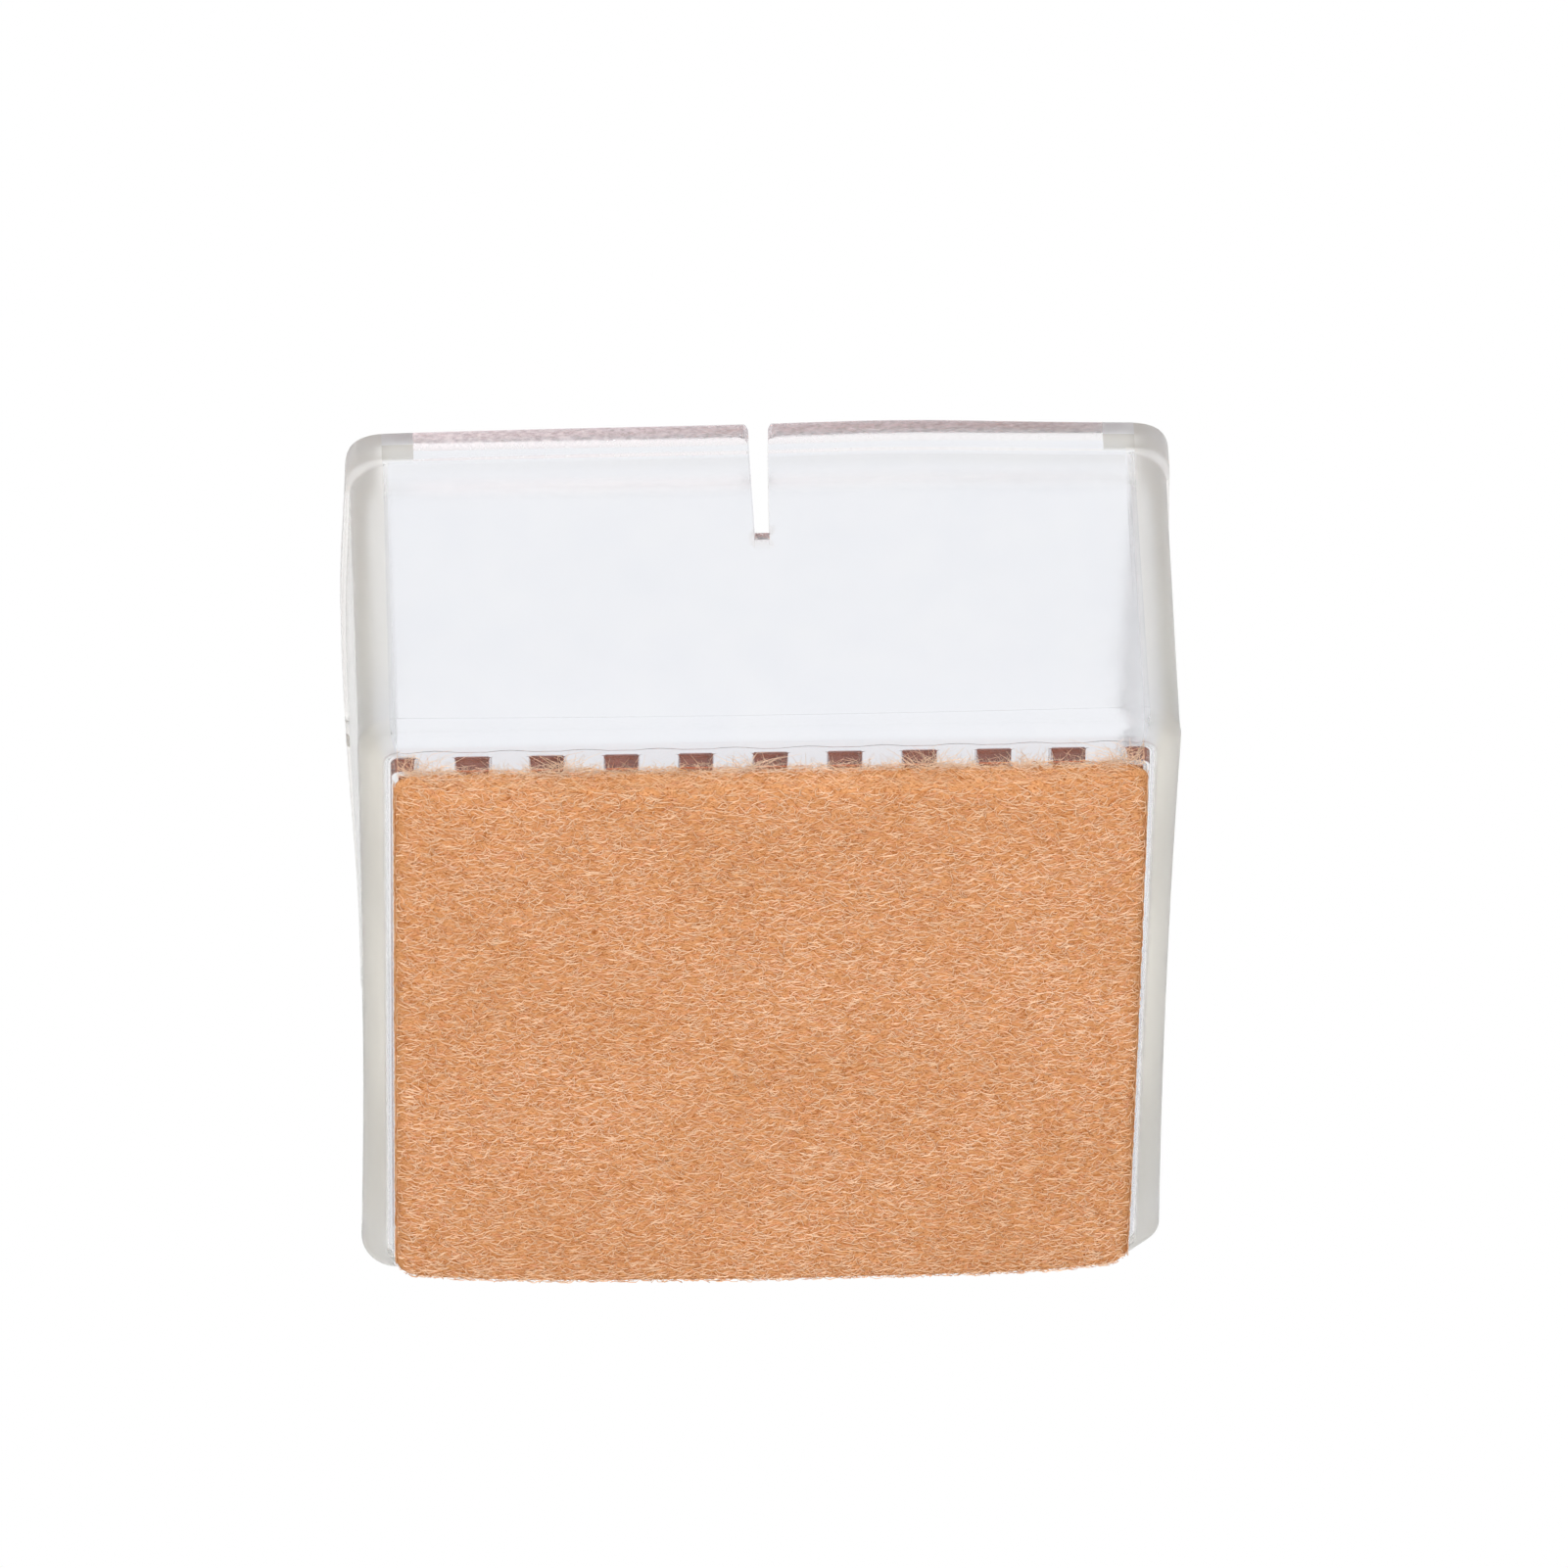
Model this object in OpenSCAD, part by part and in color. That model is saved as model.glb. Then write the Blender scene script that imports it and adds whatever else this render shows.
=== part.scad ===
// Clear push-on cap for a square chair leg, with a felt sole
// +Z runs up the leg, the mouth is at the top and the sole stands on z = 0
// The origin is under the middle of the cap, and all sizes are in millimetres

/* [Cap] */
// Outer width of the square cap at its base
base_w = 40; // [24:0.5:80]
// Height of the clear cap, from the border under its base to the rim
cap_h = 20; // [14:0.5:40]
// Radius of the four upright outer corners
corner_r = 2; // [1.9:0.1:5]
// Radius of the rounded bottom edge, up to the mould line
sole_round = 1.15; // [0.4:0.05:1.8]
// Step left by the mould line at the top of the rounded bottom edge
seam_step = 0.04; // [0.02:0.01:0.2]
// Thickness of the base, without its ribs
base_t = 0.8; // [0.6:0.05:4]
// Thickness of the walls where they meet the base
wall_base_t = 1.2; // [0.8:0.05:1.8]
// Thickness of the walls just under the rim
wall_top_t = 1.2; // [0.6:0.05:1.6]
// How far each wall leans outward over its height
wall_flare = 0.06; // [0:0.01:0.6]

/* [Rim] */
// Thickness of the rim, which grips the leg
rim_t = 1.75; // [1.2:0.05:2]
// Height of the thick rim on the inside
grip_h = 1.8; // [1:0.1:5]
// Height of the slope that runs from the thick rim to the inner wall
grip_slope_h = 2; // [0.3:0.1:3]
// Height of the raised band on the outside of the rim
bead_h = 1.8; // [0.8:0.1:4]
// How far the raised band stands out of the wall
bead_out = 0.18; // [0.05:0.01:0.6]
// Chamfer on both top edges of the rim
rim_edge = 0.12; // [0.05:0.01:0.4]

/* [Slits] */
// Depth of the slit in the middle of each wall
slit_h = 7; // [3:0.05:10]
// Width of a slit at its bottom
slit_low_w = 0.8; // [0.4:0.05:3]
// Width of a slit at the rim
slit_top_w = 1; // [0.4:0.05:4]
// Radius of the corners where a slit meets the rim
slit_corner_r = 0.4; // [0.1:0.05:1]

/* [Ribs under the base] */
// Width of the square field of ribs
field_w = 36.8; // [20:0.1:76]
// Corner radius of the field of ribs
field_r = 0.5; // [0.2:0.1:3]
// Height of the ribs
rib_h = 0.85; // [0.3:0.05:2]
// Number of grooves that part the ribs
groove_count = 10; // [2:1:16]
// Distance from one groove to the next
groove_pitch = 3.615; // [1.5:0.005:5]
// Width of a groove
groove_w = 2.03; // [0.5:0.01:3]

/* [Felt sole] */
// Thickness of the glue film
film_t = 0.1; // [0.05:0.01:0.4]
// How far the glue film stays inside the felt's edge
film_inset = 0.1; // [0.05:0.05:1]
// Width of the square felt pad
felt_w = 36.5; // [20:0.1:76]
// Corner radius of the felt pad
felt_r = 1; // [0.5:0.1:4]
// Thickness of the felt in the middle
felt_t = 1.7; // [1:0.05:4]
// Thickness of the felt in the middle of its edges
felt_edge_t = 1.35; // [0.6:0.05:3]
// Thickness of the felt at its pressed corners
felt_corner_t = 0.85; // [0.3:0.05:2]
// Width of the band over which the felt rounds over to its edge
felt_fall_w = 1.2; // [0.4:0.1:4]
// Corner radius of the felt's lower face, where the pressed corners start
felt_low_r = 7; // [2:0.5:12]

/* [Hidden] */
$fn = 96;
// Room by which a cutter runs past what it cuts
past = 1;
// Overlap of the ribs into the base that they stand under
rib_root = 0.4;
// Levels of the film, the ribs and the border under the base
film_z = felt_t;
rib_z = film_z + film_t;
border_z = rib_z + rib_h;
rim_z = border_z + cap_h;
// Distance of the corner axes from the middle
axis_d = base_w / 2 - corner_r;
// Distances of the wall's faces from those axes
out_top = corner_r + wall_flare;
bead_face = out_top + bead_out;
in_base = max(0.1, corner_r - wall_base_t);
in_top = max(0.1, out_top - wall_top_t);
in_rim = max(0.1, bead_face - rim_t);
// Heights on the wall, counted from the border
bead_low = cap_h - bead_h;
grip_low = cap_h - grip_h;
slope_low = grip_low - grip_slope_h;
slit_low = cap_h - slit_h;
seam_face = corner_r + seam_step;
// Layers of the felt's lower side: how far each stands in from the edge, its corner radius and its level
felt_layers = [
    [0, felt_r, felt_t - felt_corner_t],
    [0, (felt_r + felt_low_r) / 2, felt_t - felt_edge_t],
    [felt_fall_w * 0.35, felt_low_r * 0.85, (felt_t - felt_edge_t) * 0.3],
    [felt_fall_w, felt_low_r, 0]
];

// Rounded square in the plane, centred on the origin
module soft_square(w, r) {
    square([w, w - 2 * r], center = true);
    square([w - 2 * r, w], center = true);
    for (x = [-1, 1], y = [-1, 1])
        translate([x * (w / 2 - r), y * (w / 2 - r)])
            circle(r);
}

// Cut through one wall and its share of the base, outward from a corner axis
module wall_section() {
    polygon([
        [0, 0],
        [seam_face - sole_round, 0],
        [seam_face - sole_round, sole_round],
        [corner_r, sole_round],
        [out_top, bead_low - bead_out],
        [bead_face, bead_low],
        [bead_face, cap_h - rim_edge],
        [bead_face - rim_edge, cap_h],
        [in_rim + rim_edge, cap_h],
        [in_rim, cap_h - rim_edge],
        [in_rim, grip_low],
        [in_top, slope_low],
        [in_base, base_t],
        [0, base_t]
    ]);
    intersection() {
        translate([seam_face - sole_round, sole_round])
            circle(sole_round);
        translate([seam_face - sole_round, 0])
            square(sole_round);
    }
}

// The four walls with their corners, and the middle of the base between them
module shell() {
    for (turn = [0 : 90 : 270])
        rotate(turn) {
            translate([axis_d, 0, 0])
                rotate([90, 0, 0])
                    linear_extrude(2 * axis_d, center = true)
                        wall_section();
            translate([axis_d, axis_d, 0])
                rotate_extrude(angle = 90)
                    wall_section();
        }
    translate([-axis_d, -axis_d, 0])
        cube([2 * axis_d, 2 * axis_d, base_t]);
}

// Outline of a slit, seen from the side: it widens to the rim, where its corners are rounded
module slit_outline() {
    polygon([
        [-slit_low_w / 2, slit_low],
        [slit_low_w / 2, slit_low],
        [slit_top_w / 2, cap_h],
        [slit_top_w / 2, cap_h + past],
        [-slit_top_w / 2, cap_h + past],
        [-slit_top_w / 2, cap_h]
    ]);
    difference() {
        translate([-slit_top_w / 2 - slit_corner_r, cap_h - slit_corner_r])
            square([slit_top_w + 2 * slit_corner_r, slit_corner_r + past]);
        for (side = [-1, 1])
            translate([side * (slit_top_w / 2 + slit_corner_r), cap_h - slit_corner_r])
                circle(slit_corner_r);
    }
}

// Ribs that run front to back under the base
module ribs() {
    translate([0, 0, -rib_h])
        linear_extrude(rib_h + rib_root)
            difference() {
                soft_square(field_w, field_r);
                for (i = [0 : groove_count - 1])
                    translate([(i - (groove_count - 1) / 2) * groove_pitch, 0])
                        square([groove_w, field_w + past], center = true);
            }
}

module cap_sleeve() {
    color([0.93, 0.94, 0.95, 0.45])
        translate([0, 0, border_z]) {
            difference() {
                shell();
                for (turn = [0, 90])
                    rotate(turn)
                        rotate([90, 0, 0])
                            linear_extrude(base_w + 4 * past, center = true)
                                slit_outline();
            }
            ribs();
        }
}

module adhesive_film() {
    color([0.72, 0.62, 0.5, 0.7])
        translate([0, 0, film_z])
            linear_extrude(film_t)
                soft_square(felt_w - 2 * film_inset, max(0.1, felt_r - film_inset));
}

// Pad with upright sides, which rounds over at its lower edge and thins out at its corners
module felt_pad() {
    color([0.82, 0.55, 0.33])
        hull() {
            for (layer = felt_layers)
                translate([0, 0, layer[2]])
                    linear_extrude(felt_t - layer[2])
                        soft_square(felt_w - 2 * layer[0], layer[1], $fn = 32);
        }
}

cap_sleeve();
adhesive_film();
felt_pad();
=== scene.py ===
# %% [markdown]
# # A clear square chair leg cap with a felt sole
# The object is a soft, clear plastic cap that is pushed onto the end of a square chair leg. Four slits let its walls
# spread, a thick rim grips the leg, and a felt pad is glued to the ribs under its base, so that the chair slides
# quietly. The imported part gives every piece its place, so this lesson starts by loading it. All sizes below are written
# in millimetres and turned into metres once, when a mesh is made.

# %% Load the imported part
import math
import random

import bmesh
import bpy
from mathutils import Matrix, Vector, noise


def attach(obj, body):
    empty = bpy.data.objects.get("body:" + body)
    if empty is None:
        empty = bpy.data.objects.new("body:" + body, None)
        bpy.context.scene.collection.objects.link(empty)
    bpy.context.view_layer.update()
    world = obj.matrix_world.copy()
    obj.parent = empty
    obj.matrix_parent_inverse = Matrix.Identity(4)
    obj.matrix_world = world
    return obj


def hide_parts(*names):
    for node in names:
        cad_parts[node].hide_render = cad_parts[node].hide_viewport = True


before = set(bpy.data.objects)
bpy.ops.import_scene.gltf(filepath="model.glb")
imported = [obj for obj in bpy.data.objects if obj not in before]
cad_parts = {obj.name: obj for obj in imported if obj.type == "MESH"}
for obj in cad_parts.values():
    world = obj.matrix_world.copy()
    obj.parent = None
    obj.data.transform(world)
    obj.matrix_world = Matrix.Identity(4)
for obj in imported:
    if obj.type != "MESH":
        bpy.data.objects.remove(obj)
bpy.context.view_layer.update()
MM = 0.001

# %% [markdown]
# ## The camera
# The photograph looks up at the sole from the front, about 42 degrees below the level of the base, with a long lens. A
# camera can be aimed by hand, but here its place, aim, roll and lens were worked out from the cap's known square base,
# which is more exact. A camera looks along its own -Z, so its matrix holds its right, up and backward directions.

# %% Place the camera
camera = bpy.data.cameras.new("photo_camera")
camera.sensor_width = 36
camera.lens = 393.8
camera.clip_start = 0.01
camera.clip_end = 50
photo_camera = bpy.data.objects.new("photo_camera", camera)
bpy.context.collection.objects.link(photo_camera)
camera_place = Vector((-26.62, -631.25, -558.51)) * MM
camera_aim = Vector((1.08, -7.25, 10.75)) * MM
ahead = (camera_aim - camera_place).normalized()
level = ahead.cross(Vector((0, 0, 1))).normalized()
roll = Matrix.Rotation(math.radians(2.61), 3, ahead)
right = roll @ level
upward = right.cross(ahead)
photo_camera.matrix_world = Matrix((right, upward, -ahead)).transposed().to_4x4()
photo_camera.location = camera_place
bpy.context.scene.camera = photo_camera
bpy.context.scene.view_settings.view_transform = "Standard"
light_paths = bpy.context.scene.cycles
light_paths.max_bounces = 40
light_paths.glossy_bounces = 30
light_paths.transmission_bounces = 40
print("camera distance:", round((camera_aim - camera_place).length, 3), "m")

# %% [markdown]
# ## Shader maths as plain expressions
# A material is a network of nodes, and long networks are hard to read as a list of links. A small class that wraps one
# socket lets the maths read as ordinary sums and products: each operator adds its Math node and links it. Any other
# node comes from one method, which takes the node's type, its settings and the values or links of its sockets.

# %% The socket wrapper
class Signal:
    """One output socket of a material; arithmetic on it adds Math nodes."""

    def __init__(self, tree, socket):
        self.tree = tree
        self.socket = socket

    def node(self, kind, settings=None, sockets=None, out=0):
        """A new node with these settings, values and links; returns one of its outputs."""
        made = self.tree.nodes.new(kind)
        for name, value in (settings or {}).items():
            setattr(made, name, value)
        for name, value in (sockets or {}).items():
            if isinstance(value, Signal):
                self.tree.links.new(value.socket, made.inputs[name])
            else:
                made.inputs[name].default_value = value
        return Signal(self.tree, made.outputs[out])

    def math(self, operation, *values):
        """A Math node that works on these values."""
        return self.node("ShaderNodeMath", {"operation": operation}, dict(enumerate(values)))

    def __add__(self, other):
        return self.math("ADD", self, other)

    def __mul__(self, other):
        return self.math("MULTIPLY", self, other)

    def span(self, low, high, to_low=0.0, to_high=1.0):
        """The signal mapped from one range to another and kept inside it."""
        return self.node("ShaderNodeMapRange", {}, {0: self, 1: low, 2: high, 3: to_low, 4: to_high})

    def stretch(self, x, y, z):
        """A place signal scaled along each axis."""
        return self.node("ShaderNodeVectorMath", {"operation": "MULTIPLY"}, {0: self, 1: (x, y, z)})

    def shift(self, other, much):
        """A place signal pushed about by the colour of another."""
        pushed = self.node("ShaderNodeVectorMath", {"operation": "SCALE"}, {0: other, 3: much})
        return self.node("ShaderNodeVectorMath", {"operation": "ADD"}, {0: self, 1: pushed})

    def grain(self, scale, detail=3.0, rough=0.55, out=0):
        """Noise at this place; out 0 is its value and 1 its colour."""
        return self.node("ShaderNodeTexNoise", {}, {0: self, 2: scale, 3: detail, 4: rough}, out)

    def blend(self, first, second):
        """Two colours mixed by this signal."""
        return self.node("ShaderNodeMix", {"data_type": "RGBA"}, {0: self, 6: first, 7: second}, 2)

    def dent(self, strength, depth):
        """A Bump node's normal for this height; depth is in metres."""
        return self.node("ShaderNodeBump", {}, {"Strength": strength, "Distance": depth, "Height": self})


def new_finish(name):
    """A material with a Principled shader; returns it, the shader node and the place signal in millimetres."""
    material = bpy.data.materials.new(name)
    material.use_nodes = True
    tree = material.node_tree
    place = tree.nodes.new("ShaderNodeTexCoord").outputs["Object"]
    in_mm = Signal(tree, place).stretch(1000, 1000, 1000)
    return material, tree.nodes["Principled BSDF"], in_mm


def feed(shader, socket, signal):
    """Links a signal to one socket of a shader node."""
    signal.tree.links.new(signal.socket, shader.inputs[socket])


print("shader helpers ready")

# %% [markdown]
# ## Floor, daylight and lamps
# The cap stands on a pale floor. The photograph looks from under that floor, so the floor is only there from above: a
# material can tell its back side from its front, and the back side is made clear. The floor also lets light from below
# reach the sole, because in the photograph the sole is lit. Everything behind the cap is white, which the world shows
# to the camera and to reflections and refractions, while the light it gives is softer.

# %% Make the floor
def pale_floor():
    """A pale, rough finish that is clear from behind."""
    material, shader, place = new_finish("pale_floor")
    tone = place.grain(0.02, 4.0).span(0.3, 0.7)
    feed(shader, "Base Color", tone.blend((0.86, 0.86, 0.86, 1), (0.9, 0.9, 0.9, 1)))
    shader.inputs["Roughness"].default_value = 0.7
    tree = material.node_tree
    output = tree.nodes["Material Output"]
    back = place.node("ShaderNodeNewGeometry", out=6)
    clear = place.node("ShaderNodeBsdfTransparent")
    sided = place.node("ShaderNodeMixShader", {}, {0: back, 1: Signal(tree, shader.outputs[0]), 2: clear})
    tree.links.new(sided.socket, output.inputs["Surface"])
    return material


floor_mesh = bpy.data.meshes.new("floor")
floor_mesh.from_pydata([(-2, -2, 0), (2, -2, 0), (2, 2, 0), (-2, 2, 0)], [], [(0, 1, 2, 3)])
floor = bpy.data.objects.new("floor", floor_mesh)
floor_mesh.materials.append(pale_floor())
bpy.context.collection.objects.link(floor)
floor.visible_shadow = False
floor.visible_diffuse = False
floor.visible_transmission = False
floor.visible_glossy = False
print("floor:", [round(v, 2) for v in floor.dimensions], "m")

# %% Light the stage
SEEN_WHITE = 1.0
SOFT_LIGHT = 0.55
world = bpy.data.worlds.new("white_studio")
world.use_nodes = True
bpy.context.scene.world = world
sky = world.node_tree
rays = Signal(sky, sky.nodes.new("ShaderNodeLightPath").outputs[0])
ray_kinds = rays.socket.node.outputs
seen = rays.math("MAXIMUM", rays, Signal(sky, ray_kinds["Is Glossy Ray"]))
seen = rays.math("MAXIMUM", seen, Signal(sky, ray_kinds["Is Transmission Ray"]))
white = rays.node("ShaderNodeBackground", {}, {"Color": (1, 1, 1, 1), "Strength": SEEN_WHITE})
soft = rays.node("ShaderNodeBackground", {}, {"Color": (1.0, 0.99, 0.97, 1), "Strength": SOFT_LIGHT})
both = rays.node("ShaderNodeMixShader", {}, {0: seen, 1: soft, 2: white})
sky.links.new(both.socket, sky.nodes["World Output"].inputs["Surface"])


def soft_lamp(name, place, size, power):
    """A square lamp that faces the cap."""
    lamp = bpy.data.lights.new(name, "AREA")
    lamp.size = size
    lamp.energy = power
    holder = bpy.data.objects.new(name, lamp)
    bpy.context.collection.objects.link(holder)
    holder.location = place
    holder.rotation_euler = (-Vector(place)).to_track_quat("-Z", "Y").to_euler()
    holder.visible_camera = False
    holder.visible_transmission = False
    holder.visible_glossy = False


soft_lamp("key_above", (-0.7, -0.6, 1.1), 0.8, 14)
soft_lamp("fill_below", (-0.1, -0.85, -0.9), 1.2, 18.2)
print("lamps:", [light.name for light in bpy.data.lights])

# %% [markdown]
# ## The section of the clear cap
# The cap is one moulding. Seen in section, each wall rises from a rounded bottom edge with a fine mould line at its
# top, leans out a hair, and ends in a band that stands proud outside and swells inward to grip the leg. A cap like this
# could be cut from a block with booleans, but clear plastic shows every bad normal, so the mesh is laid out instead:
# one section, as a list of points, is carried round the square. Distances are counted outward from the axis of a
# corner, and heights from the border under the cap.

# %% Write the section
HALF = 20.0  # half the width at the base
CORNER = 2.0  # radius of the upright corners
AXIS = HALF - CORNER  # from the middle to the axis of a corner
BORDER = 2.65  # height of the border above the floor
CAP = 20.0  # from the border to the rim
RIB = 0.85  # height of the ribs
FIELD = 0.4  # where the field of ribs ends
RIB_ROOT = 0.12  # fillet where a rib meets the base
ROUND = 1.15  # radius of the bottom edge
SEAM = 0.04  # step of the mould line
SLIT_LOW = 13.0  # bottom of a slit
WEB = 0.8  # thickness of the base
FLOOR_ROUND = 0.3  # fillet round the floor of the socket
INNER = 0.8  # inner face of a wall at the base
LEAN = 0.06  # how far a wall leans out
BEAD = 2.24  # outer face of the band round the rim
GRIP = 0.49  # inner face of the thick rim
GRIP_LOW = 18.5  # where the thick rim starts to run out
GRIP_FADE = 2.7  # height over which it runs out


def arc(cx, cz, r, start, end, steps):
    """Points on a circle, from one angle to another in degrees, without the first."""
    turns = [math.radians(start + (end - start) * k / steps) for k in range(1, steps + 1)]
    return [(cx + r * math.cos(a), cz + r * math.sin(a)) for a in turns]


def on_wall(z):
    """Distance of the outer wall face at this height."""
    return CORNER + LEAN * (z - ROUND) / (18.0 - ROUND)


def in_wall(z):
    """Distance of the inner wall face at this height."""
    return INNER + LEAN * (z - WEB) / (17.0 - WEB)


sole_rows = [(0.0, -RIB), (0.24, -RIB), (0.32, -RIB * 0.99), (0.37, -RIB * 0.95), (0.395, -RIB * 0.87)]
sole_rows += [(FIELD, -RIB_ROOT)] + arc(FIELD + RIB_ROOT, -RIB_ROOT, RIB_ROOT, 180, 90, 5) + [(0.6, 0.0)]
line_rows = range(len(sole_rows), len(sole_rows) + 4)  # the fine line in front of the ribs
out_rows = [(0.78, 0.0), (0.795, 0.02), (0.805, 0.02), (0.82, 0.0)]
out_rows += [(0.93, 0.002)] + arc(CORNER + SEAM - ROUND, ROUND, ROUND, -88, 0, 16)
out_rows += [(CORNER + SEAM, ROUND + 0.02), (on_wall(ROUND + 0.03), ROUND + 0.03)]
low_levels = [4, 6, 8, 10, 11.5, 12.6, SLIT_LOW, 13.6, 14.6]
out_rows += [(on_wall(z), z) for z in [1.4, 2.2, *low_levels, 15.8, 16.9, 17.6, 17.9]]
out_rows += [(2.06, 17.98), (2.075, 18.05), (2.15, 18.13), (2.225, 18.2), (BEAD, 18.28), (BEAD, 18.5)]
out_rows += [(BEAD, 19.13), (BEAD, 19.15), (BEAD, 19.3)]
rim_levels = [19.4, 19.5, 19.6]
out_rows += [(BEAD, z) for z in rim_levels]
out_rows += [(2.235, 19.9), (2.225, 19.935), (2.2, 19.955), (2.15, 19.965), (1.9, 19.98), (1.55, 20.003)]
in_rows = [(1.28, 20.012), (1.1, 20.005), (0.94, 19.97), (0.81, 19.915), (0.71, 19.85), (0.63, 19.78), (0.57, 19.7)]
in_rows += [(0.525, 19.6), (0.5, 19.5), (GRIP, 19.4), (GRIP, 19.1), (GRIP, GRIP_LOW)]
for z in (18.2, 17.9, 17.6, 17.3, 17.0, 16.7, 16.4, 16.1, 15.8):
    swell = 0.5 + 0.5 * math.cos(math.pi * (GRIP_LOW - z) / GRIP_FADE)
    in_rows.append((GRIP * swell + in_wall(z) * (1 - swell), z))
in_rows += [(in_wall(z), z) for z in reversed([1.3, 1.8, 3.2, *low_levels])]
in_rows += arc(INNER - FLOOR_ROUND, WEB + FLOOR_ROUND, FLOOR_ROUND, 0, -90, 6) + [(0.3, WEB), (0.0, WEB)]
section = sole_rows + out_rows + in_rows
sole_count = len(sole_rows)
seam_row = section.index((on_wall(ROUND + 0.03), ROUND + 0.03))
bead_row = section.index((BEAD, 18.28))
grip_rows = [section.index((on_wall(z), z)) for z in (17.6, 17.9)]
low_out = section.index((on_wall(SLIT_LOW), SLIT_LOW))
low_in = section.index((in_wall(SLIT_LOW), SLIT_LOW))
high_out = section.index((BEAD, rim_levels[0]))
high_in = section.index((GRIP, rim_levels[0]))
rim_rows = range(high_out + len(rim_levels) + 1, high_in - len(rim_levels) + 1)
print("section points:", len(section), "rim rows:", high_in - high_out + 1)

# %% [markdown]
# ## Columns along the walls
# Ribs run front to back under the base, so along the front and back the section has to change from rib to groove and
# back. A rib's flank is a handful of columns close together: each says how far down towards the rib's tip the sole
# reaches there. A slit is two columns that part above its bottom, and where the worn part of the rim ends, two columns
# stand so close together that its look can change in a sharp line. Along the sides the outermost rib runs unbroken.

# %% Lay out the columns
PITCH = 3.615  # from one groove to the next
GROOVE = 2.03  # width of a groove
GROOVES = 10
SLIT_HALF = 0.36  # half the width of a slit at its bottom
SLIT_WIDENS = 0.14  # how much that half grows up to the rim
SLIT_ROUND = 0.4  # radius of a slit's corners at the rim
SLIT_REACH = 3.0  # how far to each side the columns make room for a slit
RIM_END = 16.95  # where the worn part of the rim ends
flank = [(-0.22, 0.0), (-0.12, 0.025), (-0.05, 0.09), (-0.01, 0.22), (0.01, 0.86), (0.04, 0.96), (0.1, 1.0)]


def front_columns():
    """Columns across the front: each is its place and how much of a rib stands there."""
    found = {-AXIS: 1.0, AXIS: 1.0, -SLIT_HALF: 1.0, SLIT_HALF: 1.0}
    found.update({side * (RIM_END + step): 0.0 for side in (-1, 1) for step in (-0.01, 0.01)})
    for number in range(GROOVES):
        middle = (number - (GROOVES - 1) / 2) * PITCH
        for side in (-1, 1):
            for reach, height in flank:
                found[round(middle + side * (GROOVE / 2 + reach), 4)] = height
        for step in (-0.5, 0.0, 0.5):
            found[round(middle + step, 4)] = 0.0
    return sorted(found.items())


def side_columns():
    """Columns along a side wall, with a slit in the middle."""
    spots = [-AXIS + k * 1.2 for k in range(15)] + [-SLIT_HALF]
    return [(round(y, 4), 1.0) for y in spots] + [(round(-y, 4), 1.0) for y in reversed(spots)]


def slit_half_at(z):
    """Half the width of a slit at this height: it widens upward and its corners at the rim are rounded."""
    if z <= SLIT_LOW:
        return SLIT_HALF
    half = SLIT_HALF + SLIT_WIDENS * (z - SLIT_LOW) / (CAP - SLIT_LOW)
    over = z - (CAP - SLIT_ROUND)
    return half + (SLIT_ROUND - math.sqrt(max(0.0, SLIT_ROUND ** 2 - over ** 2)) if over > 0 else 0.0)


def part_for_slit(along, z):
    """Moves a column aside so that the slit between the two middle ones opens upward."""
    if abs(along) >= SLIT_REACH or z <= SLIT_LOW:
        return along
    half = slit_half_at(z)
    share = (SLIT_REACH - half) / (SLIT_REACH - SLIT_HALF)
    return math.copysign(half + (abs(along) - SLIT_HALF) * share, along)


across = front_columns()
along_side = side_columns()
print("columns: front", len(across), "side", len(along_side))

# %% [markdown]
# ## The walls of a soft moulding aren't quite straight
# In the photograph the walls draw in a little at the base and bow out a little at the rim, where the slits let them
# spread, and one back corner leans in. A moulding could be bent with a lattice, but the shift is simple enough to write
# as a formula of the place on the cap. Only the walls move: the ribs and the sole stay straight.

# %% Write the bow
DRAWN_IN = 0.22  # at the base, in the middle of a wall
BOWED_OUT = 0.5  # from there to the rim
LEANS_IN = 0.62  # the left wall towards the back, at the rim
BELLY = 0.22  # the front wall on the right, at the rim
TUCKED_IN = 0.45  # the right back corner, at the base


def ease(low, high, value):
    """A soft step from 0 to 1 between two values."""
    t = min(1.0, max(0.0, (value - low) / (high - low)))
    return t * t * (3 - 2 * t)


def bowed(x, y, z):
    """The place of a point of the cap after the walls have bowed, in millimetres above the border."""
    share = max(0.0, min(1.0, z / CAP))
    out = -DRAWN_IN + BOWED_OUT * share ** 1.4
    push_x = ease(18.4, 19.8, abs(x)) * out * max(0.0, 1 - (y / HALF) ** 2)
    push_y = ease(18.4, 19.8, abs(y)) * out * max(0.0, 1 - (x / HALF) ** 2)
    lean = share * ease(16, 18, -x) * (LEANS_IN * ease(-5, 14, y) - 0.14 * math.exp(-((y + 10) / 5) ** 2))
    belly = share ** 2 * ease(16, 18, -y) * BELLY * math.exp(-((x - 7) / 6) ** 2)
    tuck = TUCKED_IN * (1 - share) ** 2 * ease(17.8, 19.6, x) * ease(17.8, 19.6, y)
    moved_x = x + math.copysign(1, x) * push_x + lean - 0.6 * tuck
    moved_y = y + math.copysign(1, y) * push_y - belly - tuck
    return moved_x, moved_y, z


rim_half = AXIS + BEAD
print("rim mid wall moves out", round(bowed(rim_half, 0, CAP)[0] - rim_half, 3), "mm")
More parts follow.
